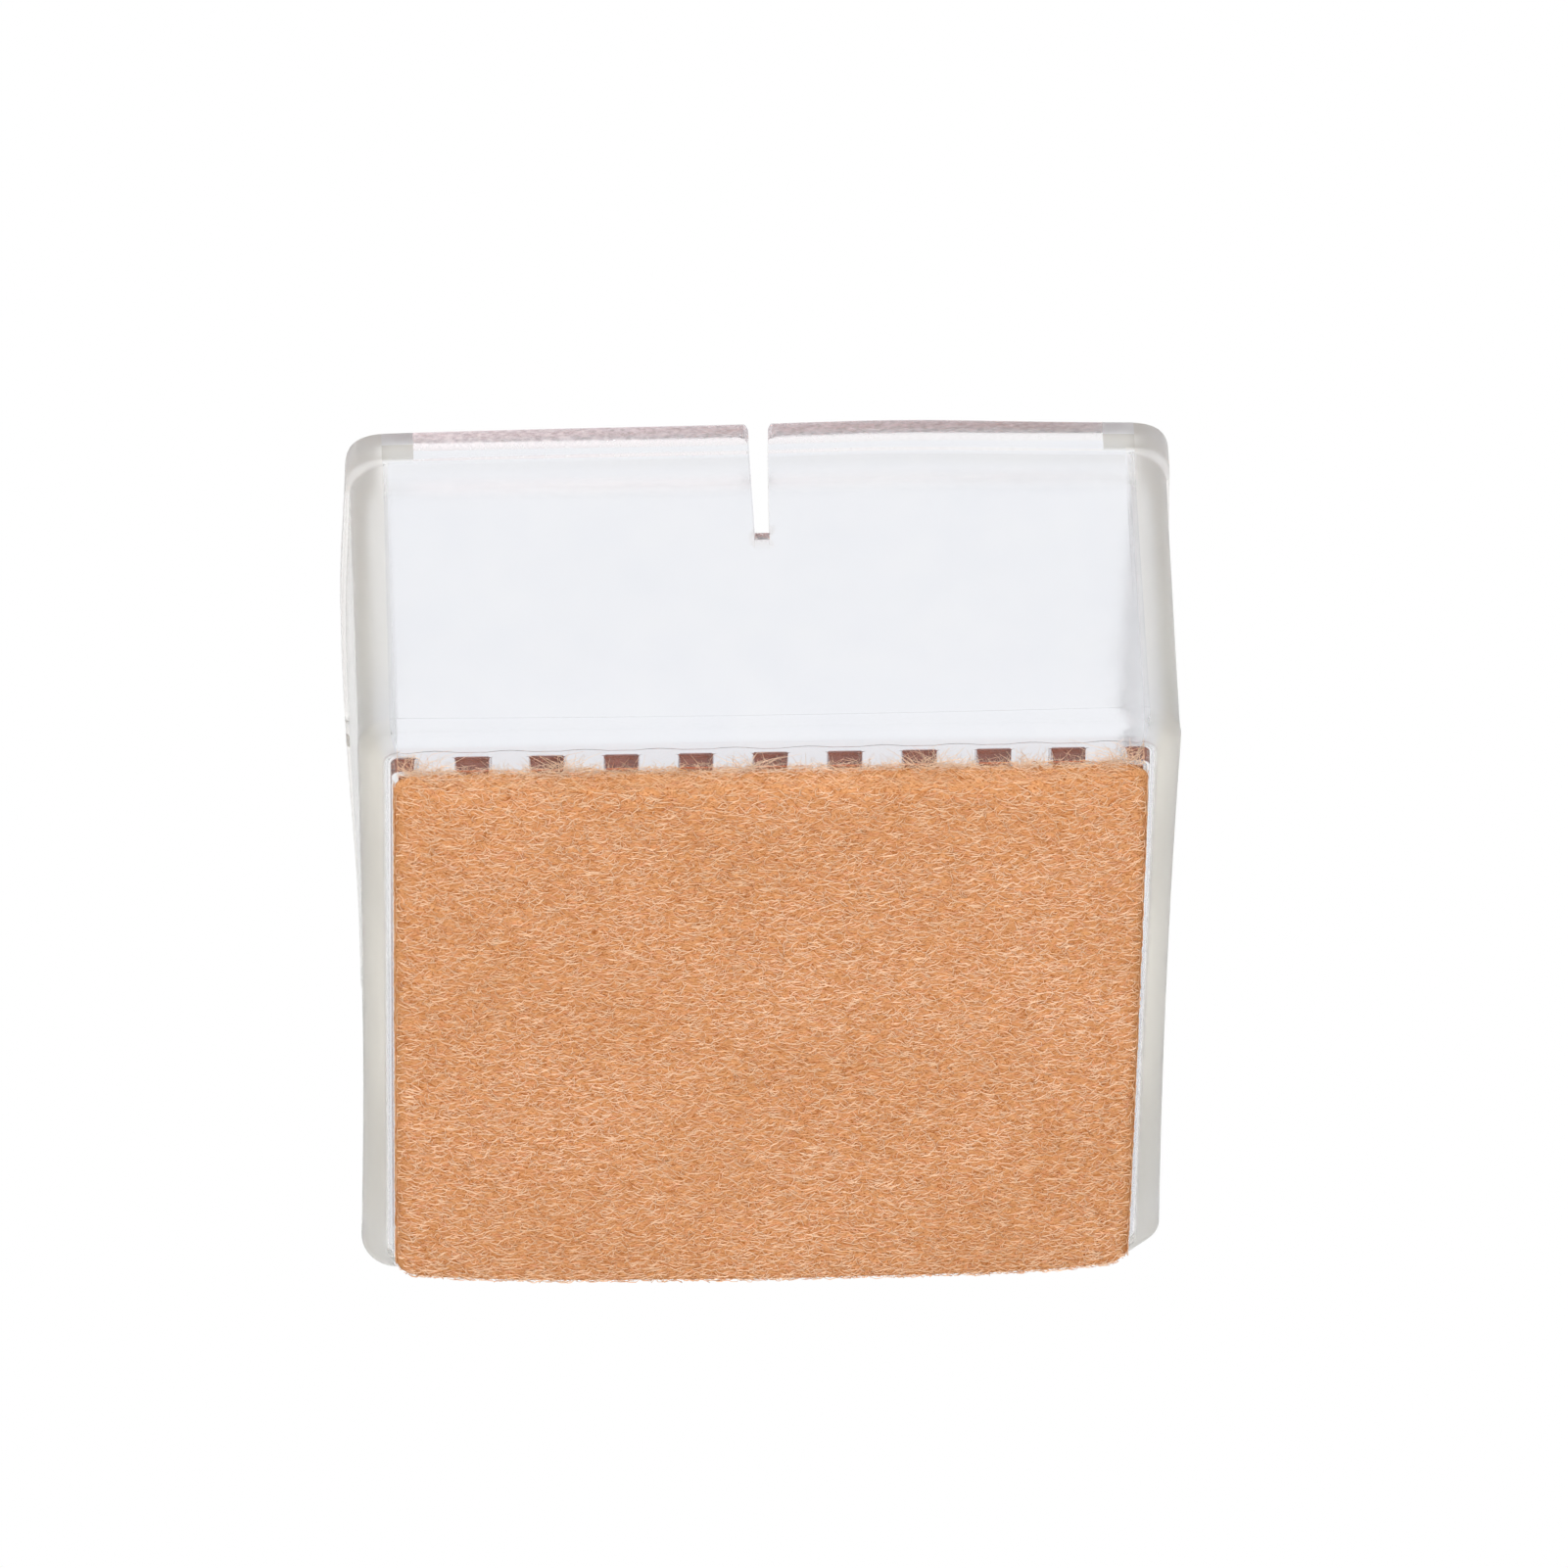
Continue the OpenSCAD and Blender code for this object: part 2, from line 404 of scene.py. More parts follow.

# %% [markdown]
# ## Where the plastic is matt or hazy, and where light and shade are painted on it
# A used cap isn't equally clear all over: its corners, its border and the ends of its rim are matt, and the rest of the
# rim is worn. Besides that, light and shade are painted into its tint in places. A mask could be painted as a picture,
# but four numbers on each point of the mesh do the same and follow the rows and columns exactly. Frost is added to the
# roughness, the second number makes the tint paler as painted light, haze lets the surface scatter light, and the
# fourth greys the tint as painted shade.

# %% Say how each point looks
LOOKS = ("frost", "painted_light", "haze", "painted_shade")
CORNER_TURN = 0.975  # a corner counts as turned where its front share falls below this
MATT_END = 0.45  # frost of the border beside the felt and of the ends of the rim
MATT_CORNER = 0.4
MATT_RIM = 0.2
MATT_SIDE = 0.16
FLOOR_FROST = 0.1  # frost of the socket's floor
# Painted shade greys the band's ends up to this height, as strongly as the next number says.
PAINTED_SHADE_TOP = 19.14  # the band's ends are grey up to here
PAINTED_SHADE_END = 0.85


def corner_painted_light(ox, oy, high):
    """Painted light on a corner, more on the left; it fades towards the bottom edge."""
    least = 0.95 if ox < 0 else 0.6
    return (least + (1 - least) * ease(0.86, 0.99, abs(oy))) * (0.4 + 0.6 * high)


def look_of(station, row):
    """Frost, painted light, haze and painted shade of one point of the cap."""
    _, _, ox, oy, along, _ = station
    z = section[row][1]
    high = ease(1.5, 6.0, z)
    fan = along is None
    corner = fan and abs(oy) < CORNER_TURN
    faces_side, faces_front = abs(ox) > 0.5, abs(oy) > 0.5
    at_end = fan or abs(along) > RIM_END
    inside = row > rim_rows[-1]
    outer_wall = row >= seam_row and not inside
    frost = 0.08 + 0.09 * high if inside else 0.0
    painted_light = haze = painted_shade = 0.0
    # On the rim the tint is painted paler as painted light; along the front the haze grows to the left, which paints
    # light there.
    if row in rim_rows:
        frost = MATT_END if at_end else MATT_RIM
        painted_light = 0.9 if at_end else 1.0
        haze = 0.24 - 0.0085 * along if oy < -0.5 and not at_end else 0.04
    else:
        if row >= seam_row and corner or bead_row <= row < rim_rows[0] and at_end:
            frost = MATT_CORNER
        elif outer_wall and (fan or faces_side):
            frost = MATT_SIDE
        # Painted light: the corners and the side walls get a paler tint.
        if corner:
            painted_light = corner_painted_light(ox, oy, high)
        elif outer_wall and faces_side:
            painted_light = 0.8
    # Painted shade: the band greys in the corners and at its ends, and a line of painted shadow runs under it on the
    # front and back.
    if bead_row - 2 <= row < rim_rows[0] and corner:
        painted_shade = (0.3 if ox < 0 else 0.5) * ease(0.7, 1.0, abs(oy))
    elif bead_row - 1 <= row < rim_rows[0] and at_end and faces_front:
        painted_shade = PAINTED_SHADE_END if z < PAINTED_SHADE_TOP else 0.0
    elif row in grip_rows and not fan and faces_front:
        painted_shade = 0.18 + 0.006 * along
    # Painted light at the bottom of the front slit.
    if row in (low_out, low_in) and oy < -0.5 and not fan and abs(along) == SLIT_HALF:
        painted_light, haze = 1.0, 0.25
    # Painted light near the bottom edge of the corners and sides, more on the left.
    if row < low_out and (corner or faces_side):
        painted_light = max(painted_light, (0.9 if ox < 0 else 0.5) * ease(1.6, 1.0, z))
    if sole_count <= row < seam_row and (corner or faces_side):
        frost = MATT_END
    return frost, painted_light, haze, painted_shade


print("looks on each point:", ", ".join(LOOKS))

# %% [markdown]
# ## Carrying the section round
# The columns of the four sides and the fans of the four corners make one closed ring of stations. Each fan has narrow
# steps near its ends, so that matt and clear plastic meet in a sharp line. The section is placed at each station,
# neighbouring stations are joined with faces, and two flat nets close the sole and the floor of the socket. Faces are
# left out where a slit is. The slit gets its own two flanks and a bottom that slopes down on the inside.

# %% Build the clear cap
FAN_STEPS = 14
FAN_SPOTS = [0.05, 1, 1.95, *range(2, FAN_STEPS - 1), FAN_STEPS - 1.95, FAN_STEPS - 1, FAN_STEPS - 0.05]
BEAD_SWELL = 0.24  # how much more the band stands out in the corners
LINE_WAVE = 0.09  # how far the fine line in front of the ribs swings
SLIT_SLOPE = 0.65  # share of the wall's thickness where a slit's bottom starts to slope


def stations():
    """Every station as (axis x, axis y, outward x, outward y, column along the side or None, rib share)."""
    ring = []
    for side in range(4):
        columns = across if side % 2 == 0 else along_side
        turn = math.radians(90 * side - 90)
        ox, oy = math.cos(turn), math.sin(turn)
        for along, rib in columns:
            ring.append((AXIS * ox - along * oy, AXIS * oy + along * ox, ox, oy, along, rib))
        cx, cy = AXIS * (ox - oy), AXIS * (oy + ox)
        for spot in FAN_SPOTS:
            a = turn + math.radians(90 * spot / FAN_STEPS)
            ring.append((cx, cy, math.cos(a), math.sin(a), None, 1.0))
    return ring


def station_points(station):
    """The section at one station, in millimetres from the cap's middle and border."""
    ax, ay, ox, oy, along, rib = station
    points = []
    for row, (reach, z) in enumerate(section):
        px, py = ax, ay
        if row < sole_count:
            z = z * rib
        elif row in line_rows and along is not None and abs(oy) > 0.5:
            wave = -math.cos(2 * math.pi * along / PITCH)
            reach, z = reach + LINE_WAVE * wave, z * (0.75 + 0.25 * wave)
        elif along is not None:
            moved = part_for_slit(along, z) - along
            px, py = ax - oy * moved, ay + ox * moved
        elif reach > CORNER:
            reach += BEAD_SWELL * (2 * ox * oy) ** 2 * ease(17.9, 18.3, z)
        points.append(bowed(px + ox * reach, py + oy * reach, z))
    return points


def close_slit(mesh, left, right, kept):
    """The bottom and the two flanks of a slit between two columns; kept names the looks that the bottom shares."""
    mids = []
    for column in (left, right):
        mid = mesh.verts.new(column[low_out].co.lerp(column[low_in].co, SLIT_SLOPE))
        for layer in kept:
            mid[layer] = column[low_out][layer]
        mids.append(mid)
    mesh.faces.new((left[low_out], right[low_out], mids[1], mids[0]))
    mesh.faces.new((mids[0], mids[1], right[low_in + 1], left[low_in + 1]))
    for column, mid in zip((left, right), mids):
        mesh.faces.new(column[low_out:high_out + 1] + column[high_in:low_in + 2] + [mid])
        for step in range((high_in - high_out) // 2):
            a, b = high_out + step, high_in - step
            mesh.faces.new(column[k] for k in sorted({a, a + 1, b - 1, b}))


def lay_net(mesh, level):
    """A flat net inside the ring; level gives its height for each rib share. Returns its points."""
    net = [[mesh.verts.new(bowed(x, y, level(rib))) for y, _ in along_side] for x, rib in across]
    for i in range(len(net) - 1):
        for j in range(len(net[0]) - 1):
            mesh.faces.new((net[i][j], net[i + 1][j], net[i + 1][j + 1], net[i][j + 1]))
    return [vert for column in net for vert in column]


def build_cap():
    """The whole cap as one closed mesh, with its looks on its points."""
    ring = stations()
    mesh = bmesh.new()
    layers = [mesh.verts.layers.float.new(name) for name in LOOKS]
    frost, painted_light, haze, _ = layers
    grid = [[mesh.verts.new(p) for p in station_points(s)] for s in ring]
    for station, column in zip(ring, grid):
        for row, vert in enumerate(column):
            for layer, value in zip(layers, look_of(station, row)):
                vert[layer] = value
    for number, left in enumerate(grid):
        right = grid[(number + 1) % len(grid)]
        here, there = ring[number][4], ring[(number + 1) % len(ring)][4]
        slit = here is not None and there is not None and abs(here) == abs(there) == SLIT_HALF
        for row in range(len(section) - 1):
            if slit and low_out <= row <= low_in:
                continue
            mesh.faces.new((left[row], right[row], right[row + 1], left[row + 1]))
        if slit:
            close_slit(mesh, left, right, (haze, painted_light))
    lay_net(mesh, lambda rib: -RIB * rib)
    for vert in lay_net(mesh, lambda rib: WEB):
        vert[frost] = FLOOR_FROST
    bmesh.ops.remove_doubles(mesh, verts=mesh.verts, dist=0.0008)
    bmesh.ops.dissolve_degenerate(mesh, edges=mesh.edges, dist=0.0002)
    bmesh.ops.recalc_face_normals(mesh, faces=mesh.faces)
    return mesh


def finish_mesh(mesh, name, lift=0.0, sharp=38):
    """Turns a bmesh in millimetres into an object in metres, smooth except at its sharp edges."""
    open_edges = sum(1 for edge in mesh.edges if len(edge.link_faces) != 2)
    for edge in mesh.edges:
        edge.smooth = len(edge.link_faces) == 2 and edge.calc_face_angle(0) < math.radians(sharp)
    for face in mesh.faces:
        face.smooth = True
    bmesh.ops.translate(mesh, verts=mesh.verts, vec=(0, 0, lift))
    bmesh.ops.scale(mesh, verts=mesh.verts, vec=(MM, MM, MM))
    data = bpy.data.meshes.new(name)
    mesh.to_mesh(data)
    mesh.free()
    piece = bpy.data.objects.new(name, data)
    bpy.context.collection.objects.link(piece)
    print(name, "faces:", len(data.polygons), "open edges:", open_edges)
    return piece


clear_cap = finish_mesh(build_cap(), "clear_cap", lift=BORDER)
even = clear_cap.modifiers.new("even_normals", "WEIGHTED_NORMAL")
even.keep_sharp = True
even.weight = 60

# %% [markdown]
# ## Clear soft plastic
# The cap is clear, but a look along its walls shows a faint warm grey, because light loses a little colour on a long
# way through the plastic. That is what an absorbing volume does. The surface takes away a touch of red, is almost
# smooth, and has the faint unevenness of a moulding in its normal. The four numbers on the points then change its
# roughness and its colour, and mix in a surface that scatters. A clear coat of paint would look the same from
# everywhere, while real refraction shows the felt through the rim and the ribs, as in the photograph.

# %% The clear plastic
# The tint where light is painted, and the grey where shade is painted.
PAINTED_LIGHT_TINT = (0.99, 0.98, 0.965, 1)
PAINTED_SHADE_TINT = (0.45, 0.425, 0.37, 1)


def clear_plastic():
    """Refracting plastic that reads the four looks of the mesh."""
    material, shader, place = new_finish("clear_plastic")
    frost, painted_light, haze, painted_shade = [place.node("ShaderNodeAttribute", {"attribute_name": name}, out=2) for name in LOOKS]
    cloud = place.grain(0.35, 2.0)
    face = cloud.span(0.35, 0.65).blend((0.865, 0.88, 0.925, 1), (0.885, 0.897, 0.935, 1))
    # The tint turns pale where light is painted and grey where shade is painted.
    feed(shader, "Base Color", painted_shade.blend(painted_light.blend(face, PAINTED_LIGHT_TINT), PAINTED_SHADE_TINT))
    handling = place.grain(1.4, 4.0, 0.6).span(0.45, 0.75)
    feed(shader, "Roughness", handling.span(0, 1, 0.04, 0.09) + frost)
    swell = place.grain(0.25, 1.0).span(0.2, 0.8)
    feed(shader, "Normal", swell.dent(0.12, 0.0001))
    shader.inputs["Transmission Weight"].default_value = 0.97
    shader.inputs["IOR"].default_value = 1.46
    tree = material.node_tree
    # The pink of this scattering surface paints the felt's reflection in the rim. The haze that mixes it in is mottled
    # like wear, and along the front of the rim it grows to the left, which paints light there.
    matt = place.node("ShaderNodeBsdfTranslucent", {}, {"Color": (0.95, 0.82, 0.84, 1)})
    worn_haze_and_painted_light = haze * place.grain(3.2, 3.0, 0.6).span(0.35, 0.65, 0.65, 1.35)
    surface = place.node("ShaderNodeMixShader", {}, {0: worn_haze_and_painted_light, 1: Signal(tree, shader.outputs[0]), 2: matt})
    tree.links.new(surface.socket, tree.nodes["Material Output"].inputs["Surface"])
    tint = place.node("ShaderNodeVolumeAbsorption", {}, {"Color": (0.935, 0.89, 0.75, 1), "Density": 31.0})
    tree.links.new(tint.socket, tree.nodes["Material Output"].inputs["Volume"])
    return material


clear_cap.data.materials.append(clear_plastic())
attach(clear_cap, "root")
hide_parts("cap_sleeve")
print("clear cap:", [round(v / MM, 2) for v in clear_cap.dimensions], "mm")

# %% [markdown]
# ## Glue between the ribs and the felt
# A thin layer of glue wets the tips of the ribs. It hardly shows by itself, but it lets light pass from the plastic to
# the felt: that is why the ends of the ribs look brown from outside. A plain box would do for a pad that is glued all
# over, but along the front and back this glue reaches out under each rib as a short tongue, as it does when a pad is
# pressed on, so its outline is given point by point. Its top sinks a few hundredths of a millimetre into the ribs, so
# that no film of air is left between them.

# %% Build the glue film
FILM_HALF = 18.05  # half the width of the layer
TONGUE = 18.37  # how far out a tongue reaches
FILM_LOW, FILM_HIGH = 1.66, 1.83
FILM_TAPER = 0.9995  # the top is this much smaller than the bottom


def film_edge():
    """The film's front edge from left to right, with a tongue under each rib."""
    half_rib = (PITCH - GROOVE) / 2 - 0.03
    points = [(-FILM_HALF, -FILM_HALF)]
    for number in range(1 - GROOVES // 2, GROOVES // 2):
        left, right = number * PITCH - half_rib, number * PITCH + half_rib
        points += [(left, -FILM_HALF), (left, -TONGUE), (right, -TONGUE), (right, -FILM_HALF)]
    return points + [(FILM_HALF, -FILM_HALF)]


def build_film():
    """The glue as a closed slab with that edge at the front and the back."""
    mesh = bmesh.new()
    outline = film_edge() + [(-x, -y) for x, y in film_edge()]
    low = [mesh.verts.new((x, y, FILM_LOW)) for x, y in outline]
    high = [mesh.verts.new((x * FILM_TAPER, y * FILM_TAPER, FILM_HIGH)) for x, y in outline]
    for k in range(len(outline)):
        n = (k + 1) % len(outline)
        mesh.faces.new((low[k], low[n], high[n], high[k]))
    mesh.faces.new(high)
    mesh.faces.new(list(reversed(low)))
    return mesh


def amber_glue():
    """Glue that is bright at its top, where it touches the ribs, and dark below, with hairs of the felt caught in it.
    """
    material, shader, place = new_finish("amber_glue")
    bent = place.shift(place.grain(2.2, 2.0, out=1), 0.5)
    hairs = bent.stretch(1.3, 6.0, 6.0).grain(1.6, 3.0).span(0.35, 0.68)
    upper_part = place.node("ShaderNodeSeparateXYZ", {}, {0: place}, 2).span(1.72, 1.8)
    rich = hairs.blend((0.74, 0.15, 0.065, 1), (0.95, 0.3, 0.14, 1))
    feed(shader, "Base Color", upper_part.blend((0.26, 0.1, 0.05, 1), rich))
    feed(shader, "Roughness", hairs.span(0, 1, 0.35, 0.6))
    return material


glue_film = finish_mesh(build_film(), "glue_film")
glue_film.data.materials.append(amber_glue())
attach(glue_film, "root")
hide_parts("adhesive_film")

# %% [markdown]
# ## The felt pad
# The sole is a die-cut square of needle felt, about 1.7 mm thick, which thins out and rounds over towards its cut edge.
# A pad could be a subdivided box, but felt has no clean faces: here a fine net is laid over the pad, thinned by a
# formula near the edge, and roughened with noise. The pad's look comes from its fibres, which follow in the next step.

# %% Build the felt pad
FELT_HALF = 18.25  # half the width of the pad
FELT_ROUND = 1.0  # radius of its corners
FELT_TOP = 1.7  # thickness in the middle
FELT_EDGE = 0.85  # thickness at its pressed corners
FIBRE_ROOM = 0.13  # room under the pad for the fibres that lie on it
NET = 150  # fields of the net along one side


def felt_depth(x, y):
    """Thickness of the felt at this place, before roughening."""
    from_corner = 2 * FELT_HALF - abs(x) - abs(y)
    from_edge = FELT_HALF - max(abs(x), abs(y))
    corner_fall = (FELT_TOP - FELT_EDGE) * math.exp(-from_corner / 4.5)
    return FELT_TOP - corner_fall - 0.3 * math.exp(-from_edge / 1.2)


def soft_corner(x, y, half, radius):
    """Moves a point of a square net into a square with rounded corners."""
    dx, dy = abs(x) - (half - radius), abs(y) - (half - radius)
    if dx <= 0 or dy <= 0:
        return x, y
    shrink = max(dx, dy) / math.hypot(dx, dy)
    return math.copysign(half - radius + dx * shrink, x), math.copysign(half - radius + dy * shrink, y)


def felt_surface(x, y):
    """Height of the felt's lower face here, roughened; the fibres lie on it."""
    fuzz = noise.noise((x * 0.9, y * 2.4, 1.0)) * 0.015 + noise.noise((x * 2.0, y * 6.0, 7.0)) * 0.014
    broad = noise.noise((x * 0.12, y * 0.12, 3.0)) * 0.05
    low = FELT_TOP - felt_depth(x, y) + fuzz + broad
    return max(0.02, low + FIBRE_ROOM)


def build_felt():
    """The pad as a closed mesh: its net below, three rings up its edge and a flat top."""
    mesh = bmesh.new()
    spots = [-FELT_HALF + 2 * FELT_HALF * k / NET for k in range(NET + 1)]
    net = []
    for x in spots:
        column = []
        for y in spots:
            px, py = soft_corner(x, y, FELT_HALF, FELT_ROUND)
            edge = max(abs(x), abs(y)) / FELT_HALF
            curl = 0.22 * ease(0.985, 1.0, edge)
            column.append(mesh.verts.new((px, py, felt_surface(px, py) + curl)))
        net.append(column)
    for i in range(NET):
        for j in range(NET):
            mesh.faces.new((net[i][j], net[i][j + 1], net[i + 1][j + 1], net[i + 1][j]))
    rim = [net[i][0] for i in range(NET)] + [net[NET][j] for j in range(NET)]
    rim += [net[i][NET] for i in range(NET, 0, -1)] + [net[0][j] for j in range(NET, 0, -1)]
    below = rim
    for level in (0.35, 0.7, 1.0):
        ring = []
        for vert in rim:
            x, y, z = vert.co
            out = 1 + 0.004 * noise.noise((x * 1.7, y * 1.7, level * 5)) + (0.003 if level < 1 else 0)
            ring.append(mesh.verts.new((x * out, y * out, z + (FELT_TOP - 0.02 - z) * level)))
        for k in range(len(ring)):
            n = (k + 1) % len(ring)
            mesh.faces.new((below[k], below[n], ring[n], ring[k]))
        below = ring
    mesh.faces.new(list(reversed(below)))
    bmesh.ops.recalc_face_normals(mesh, faces=mesh.faces)
    return mesh


felt_sole = finish_mesh(build_felt(), "felt_sole", sharp=75)

# %% [markdown]
# ## The fibres of the felt
# Felt is a mat of short hairs, and most of those on this sole lie along X. Hair particles would be the quick way, but
# they don't travel with an exported model, so each fibre is a thin bent tube with three sides. Every lying fibre starts
# in a cell of its own, which keeps the mat even, and the paler ones lie on top. Every fibre has its own tint, kept as a
# colour on its points. A seeded generator makes the same mat each time. More fibres lie along the cut edge, and a last
# lot sticks out of it in tufts, where the real felt is frayed.

# %% Draw the spines of the fibres
CELLS = 134  # cells along one side of the sole
LYING = 36000
LOT = 9000  # lying fibres in one mesh
EDGING = 6000
FRAYS = 3400
KNOTS = 4  # points along a fibre
STARTS = 18.1  # lying fibres start no further out
ENDS = 18.2  # and end no further out
dice = random.Random(20)


def kept_within(value, limit):
    """The value, held between the limit and its negative."""
    return max(-limit, min(limit, value))


def lying_fibre(number):
    """A fibre that lies on the sole, as points from end to end; the later half of them lies on top."""
    on_top = number >= LYING // 2
    cell = number % (LYING // 2)
    x = STARTS * (2 * (cell % CELLS + dice.random()) / CELLS - 1)
    y = STARTS * (2 * (cell // CELLS % CELLS + dice.random()) / CELLS - 1)
    heading = dice.gauss(0, 0.5) + (math.pi if dice.random() < 0.5 else 0)
    bend = dice.gauss(0, 0.5)
    length = dice.uniform(0.35, 1.0) if on_top else dice.uniform(0.35, 1.1)
    lift = dice.uniform(0.06, 0.13) if on_top else dice.uniform(0.02, 0.08)
    spine = []
    for k in range(KNOTS):
        px, py = soft_corner(kept_within(x, ENDS), kept_within(y, ENDS), ENDS, FELT_ROUND)
        arch = math.sin(math.pi * k / (KNOTS - 1))
        spine.append((px, py, felt_surface(px, py) - lift * arch + 0.02 * (1 - arch)))
        x += math.cos(heading) * length / (KNOTS - 1)
        y += math.sin(heading) * length / (KNOTS - 1)
        heading += bend + dice.gauss(0, 0.3)
    return spine


def beside_edge(side, along, out):
    """A place beside one of the four cut edges: 0 is the front, 1 the right, 2 the back and 3 the left."""
    reach = FELT_HALF + out
    return ((along, -reach), (reach, along), (-along, reach), (-reach, -along))[side]


def edging_fibre():
    """A fibre that lies along the cut edge."""
    side = dice.choice((0, 0, 1, 2, 3))
    along = dice.uniform(-17.4, 17.4)
    low = felt_surface(*beside_edge(side, along, -0.1)) + (0.0 if side == 0 else 0.2)
    z = dice.uniform(low, FELT_TOP + 0.08)
    step = dice.choice((-1, 1)) * dice.uniform(0.08, 0.28)
    slope = dice.gauss(0, 0.5)
    out = dice.uniform(0.0, 0.1 if side == 0 else 0.05)
    spine = []
    for k in range(KNOTS):
        stands_out = out * (1.4 if 0 < k < KNOTS - 1 else 0.4)
        spot = beside_edge(side, kept_within(along + step * k, 17.6), stands_out)
        spine.append((*spot, min(FELT_TOP + 0.14, max(low - 0.1, z))))
        z += slope * abs(step)
        slope += dice.gauss(0, 0.6)
    return spine


def fray():
    """A fibre that sticks out of the cut edge; it is longer where the edge is frayed into a tuft."""
    side = dice.choice((0, 0, 0, 0, 0, 0, 1, 3))
    along = dice.uniform(-17.8, 17.8)
    tuft = max(0.0, noise.noise((along * 0.45, side * 5.0, 2.0)) - 0.12, ease(15.6, 17.6, abs(along)) * 0.55)
    length = dice.uniform(0.12, 0.34) + dice.uniform(0.2, 1.5) * tuft if side == 0 else dice.uniform(0.05, 0.2)
    z = dice.uniform(1.35, 1.8)
    rise, slant = dice.gauss(0.6, 0.5), dice.gauss(0, 0.9)
    spine = []
    for k in range(KNOTS):
        share = k / (KNOTS - 1)
        spot = beside_edge(side, kept_within(along + slant * length * share, STARTS), length * share - 0.08)
        spine.append((*spot, min(2.55, max(0.3, z + rise * length * share))))
        slant += dice.gauss(0, 0.8)
        rise += dice.gauss(0, 0.5)
    return spine


lying = [lying_fibre(number) for number in range(LYING)]
lots = {f"felt_fibres_{1 + k // LOT}": lying[k:k + LOT] for k in range(0, LYING, LOT)}
lots["felt_edging"] = [edging_fibre() for _ in range(EDGING)]
lots["felt_frays"] = [fray() for _ in range(FRAYS)]
print("spines:", {name: len(lot) for name, lot in lots.items()})

# %% Make tubes of the spines
def fibre_tint(pale, dark):
    """A fibre's colour: mostly tan orange, with a share of pale and of dark ones."""
    kind = dice.random()
    bright = dice.uniform(0.88, 1.02)
    if kind < pale:
        return (0.98 * bright, 0.66 * bright, 0.43 * bright)
    if kind < pale + dark:
        return (0.6 * bright, 0.24 * bright, 0.08 * bright)
    return (0.89 * bright, 0.48 * bright * dice.uniform(0.94, 1.06), 0.255 * bright * dice.uniform(0.88, 1.12))


def weave_fibres(lot, name, thick, pale, dark, painted_highlight):
    """One mesh of thin three-sided tubes, each with its own tint."""
    points, faces, tints = [], [], []
    for spine in lot:
        # White mixed into the tint is painted highlight.
        tint = [v + (1 - v) * painted_highlight for v in fibre_tint(pale, dark)]
        size = thick * dice.uniform(0.7, 1.3)
        first = len(points)
        for k, spot in enumerate(spine):
            forward = Vector(spine[min(KNOTS - 1, k + 1)]) - Vector(spine[max(0, k - 1)])
            sideways = forward.cross(Vector((0, 0, 1)))
            sideways = sideways.normalized() if sideways.length > 1e-6 else Vector((1, 0, 0))
            down = sideways.cross(forward.normalized())
            taper = size * (1.0 if 0 < k < KNOTS - 1 else 0.45)
            for turn in (90, 210, 330):
                a = math.radians(turn)
                point = Vector(spot) + (sideways * math.cos(a) - down * math.sin(a)) * taper
                points.append((point.x * MM, point.y * MM, max(0.0, point.z) * MM))
                tints += [*tint, 1.0]
        for k in range(KNOTS - 1):
            for turn in range(3):
                a, b = first + 3 * k + turn, first + 3 * k + (turn + 1) % 3
                faces.append((a, b, b + 3, a + 3))
        last = first + 3 * (KNOTS - 1)
        faces += [(first, first + 2, first + 1), (last, last + 1, last + 2)]
    data = bpy.data.meshes.new(name)
    data.from_pydata(points, [], faces)
    data.attributes.new("fibre_tint", "FLOAT_COLOR", "POINT").data.foreach_set("color", tints)
    data.polygons.foreach_set("use_smooth", [True] * len(faces))
    piece = bpy.data.objects.new(name, data)
    bpy.context.collection.objects.link(piece)
    print(name, "fibres:", len(lot), "faces:", len(faces))
    return piece


# The last number, the share of cream, mixes white into a fibre's tint as painted highlight.
MIXED = (0.016, 0.15, 0.15, 0.0)  # radius in millimetres, shares of pale and of dark fibres, and share of cream
# Fibres on top are mostly pale: partly the felt's own pale hairs, partly painted highlight.
ON_TOP = (0.023, 0.85, 0.0, 0.07)
fibre_looks = {"felt_fibres_1": MIXED, "felt_fibres_2": MIXED, "felt_fibres_3": ON_TOP, "felt_fibres_4": ON_TOP}
# Paler fibres along the cut edge paint light on it, where it curls away into shade.
fibre_looks["felt_edging"] = (0.016, 0.5, 0.05, 0.0)
# The frays are pale with white mixed in, which paints light on them.
fibre_looks["felt_frays"] = (0.012, 0.95, 0.0, 0.25)
fibre_pieces = [weave_fibres(lot, name, *fibre_looks[name]) for name, lot in lots.items()]

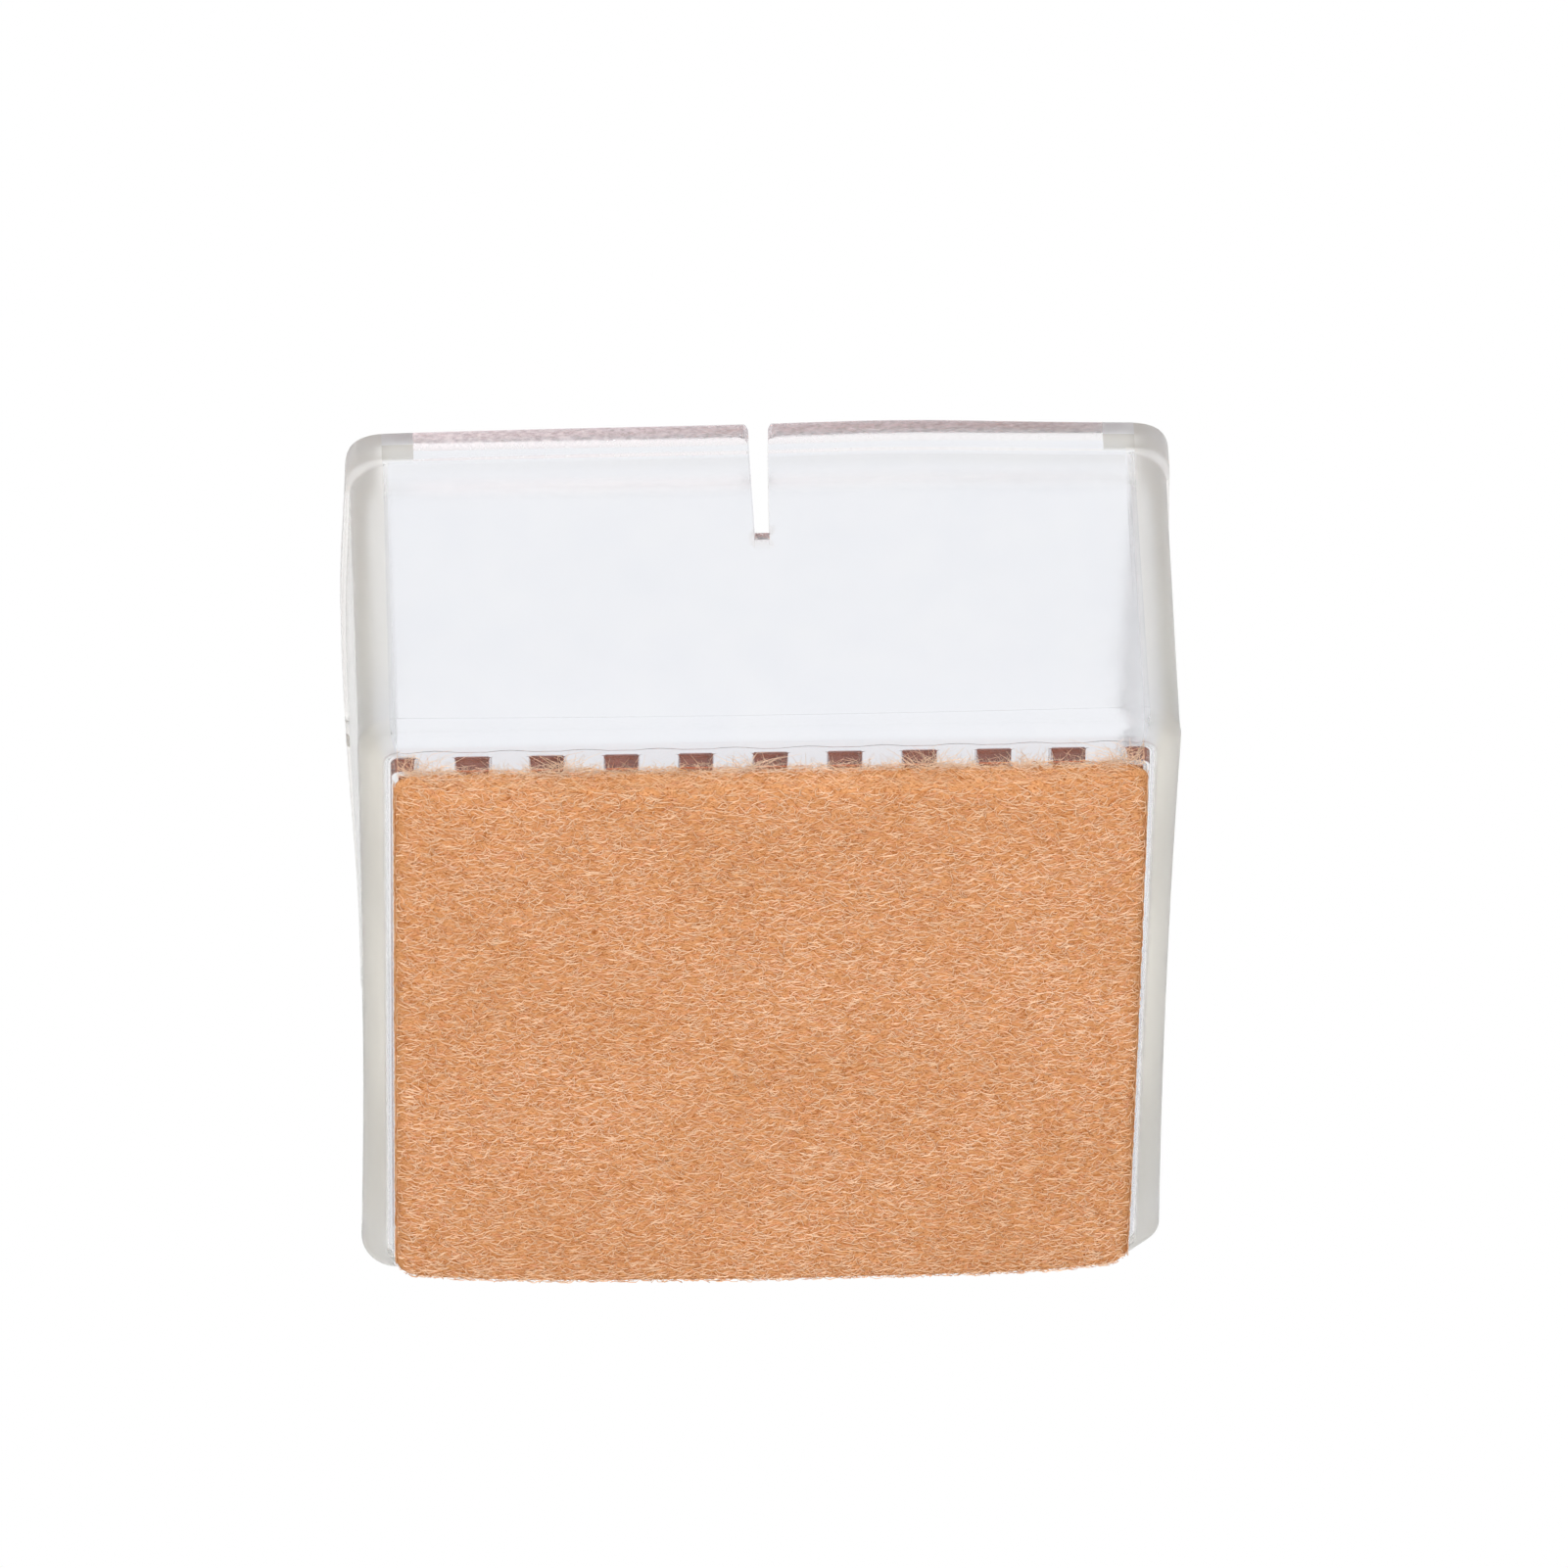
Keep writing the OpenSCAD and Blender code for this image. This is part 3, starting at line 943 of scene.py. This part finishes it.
# %% [markdown]
# ## Felt colour
# The pad under the fibres has the same tan orange with darker hollows, drawn as noise that is stretched along X and
# bent by a second noise, so that it reads as hairs rather than as stripes. The darker hollows are painted shade between
# the fibres, and small dark specks on the pad are painted shadows between hairs. The fibres show their own tints,
# shaded
# by a broad cloud: one colour for them all would be quicker, but it would look flat. Felt has no gloss, so both are
# rough, without a shine.

# %% The felt materials
def needle_felt():
    """The pad between the fibres."""
    material, shader, place = new_finish("needle_felt")
    bent = place.shift(place.grain(0.9, 2.0, out=1), 1.1)
    hairs = bent.stretch(1.0, 5.5, 5.5).grain(2.4, 4.0, 0.65).span(0.34, 0.66)
    # Small dark specks: painted shadows between hairs.
    painted_shadow_specks = bent.stretch(3.0, 7.0, 7.0).grain(1.7, 2.0).span(0.56, 0.64)
    # The dark end of this tone is painted shade in the hollows between the fibres.
    tan = hairs.blend((0.58, 0.24, 0.08, 1), (0.86, 0.46, 0.23, 1))
    feed(shader, "Base Color", (painted_shadow_specks * 0.95).blend(tan, (0.4, 0.13, 0.035, 1)))
    feed(shader, "Roughness", hairs.span(0, 1, 0.98, 0.9))
    feed(shader, "Normal", hairs.dent(0.6, 0.0001))
    shader.inputs["Specular IOR Level"].default_value = 0.0
    return material


def loose_fibre():
    """A fibre in its own tint, under a broad cloud of shade."""
    material, shader, place = new_finish("loose_fibre")
    own = place.node("ShaderNodeAttribute", {"attribute_name": "fibre_tint"})
    cloud = place.grain(0.1, 2.0).span(0.3, 0.7)
    shade = cloud.blend((0.88, 0.82, 0.74, 1), (1, 1, 1, 1))
    multiply = {"data_type": "RGBA", "blend_type": "MULTIPLY"}
    feed(shader, "Base Color", place.node("ShaderNodeMix", multiply, {0: 1.0, 6: own, 7: shade}, 2))
    feed(shader, "Roughness", cloud.span(0, 1, 0.85, 0.95))
    shader.inputs["Specular IOR Level"].default_value = 0.0
    return material


felt_sole.data.materials.append(needle_felt())
fibre_finish = loose_fibre()
for piece in fibre_pieces:
    piece.data.materials.append(fibre_finish)
    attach(piece, "root")
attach(felt_sole, "root")
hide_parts("felt_pad")
print("felt:", [round(v / MM, 2) for v in felt_sole.dimensions], "mm")
